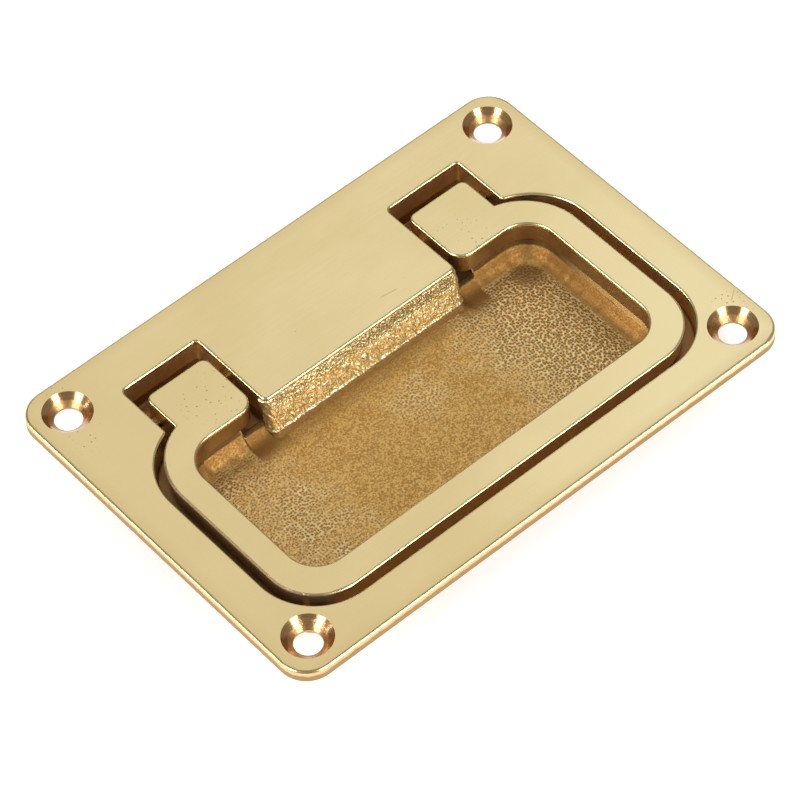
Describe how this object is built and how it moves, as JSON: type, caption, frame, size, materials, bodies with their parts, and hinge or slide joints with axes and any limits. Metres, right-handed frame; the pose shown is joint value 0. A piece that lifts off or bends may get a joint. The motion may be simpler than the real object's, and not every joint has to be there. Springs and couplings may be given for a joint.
{
  "type": "flush lift ring",
  "caption": "Flush lift ring: a rectangular cast brass plate with a finger recess and a U-shaped ring that swings up on hinge pins.",
  "frame": {"origin": "centre of the pattern of screw holes, on the underside of the plate's flange, which seats on the board", "axes": "+Z out of the board through the show face, +X along the plate's long side, +Y from the grip of the ring towards its hinge"},
  "size_m": [0.1, 0.07, 0.0098],
  "materials": {
    "plate_brass": "show face polished with faint brush lines, recess left as sand cast",
    "ring_brass": "polished on top, edges softened, as cast below",
    "pin_brass": "drawn brass rod"
  },
  "bodies": {
    "plate": {"base_plate": "plate_brass", "hinge_pin_left": "pin_brass", "hinge_pin_right": "pin_brass"},
    "ring": {"lift_ring": "ring_brass"}
  },
  "joints": [
    {"name": "ring_hinge", "type": "hinge", "parent": "plate", "child": "ring", "pos_m": [0, 0.02, -0.0012], "axis": [-1, 0, 0], "range_deg": [0, 90]}
  ]
}
